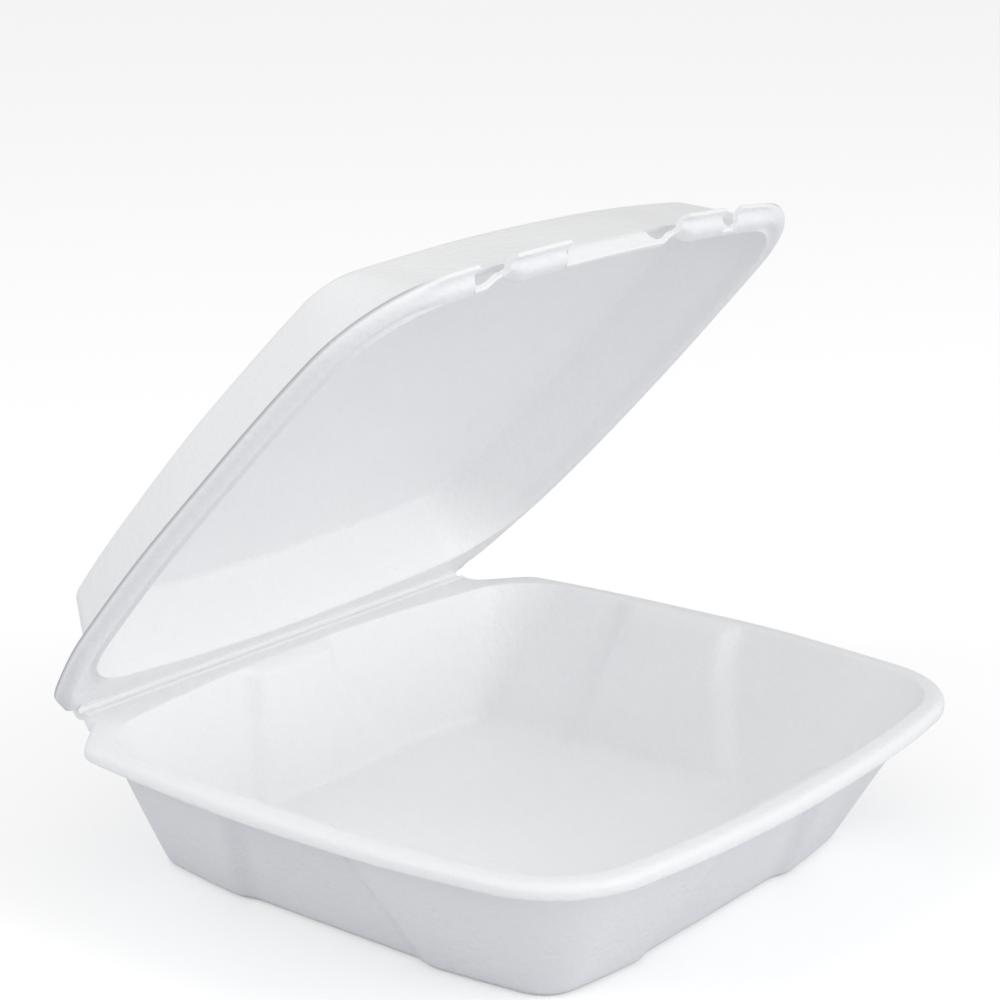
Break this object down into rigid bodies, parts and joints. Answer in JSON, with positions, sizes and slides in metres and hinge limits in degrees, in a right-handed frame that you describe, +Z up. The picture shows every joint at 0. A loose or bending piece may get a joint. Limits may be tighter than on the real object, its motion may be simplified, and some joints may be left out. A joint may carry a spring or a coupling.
{
  "type": "foam clamshell container",
  "caption": "White foam clamshell food container with a square tray, a hinged domed lid and a tab-and-slot lock.",
  "frame": {"origin": "middle of the tray's flat underside", "axes": "+Z up, +Y to the hinge at the back, -Y to the lock at the front, +X to the right seen from the front"},
  "size_m": [0.2286, 0.2242, 0.2027],
  "materials": {
    "foam": "fine-skinned white foam with a faint pebbled grain"
  },
  "bodies": {
    "tray": {"tray": "foam"},
    "lid": {"lid": "foam"}
  },
  "joints": [
    {"name": "lid_hinge", "type": "hinge", "parent": "tray", "child": "lid", "pos_m": [0, 0.0965, 0.0462], "axis": [-1, 0, 0], "range_deg": [-46, 134]}
  ]
}
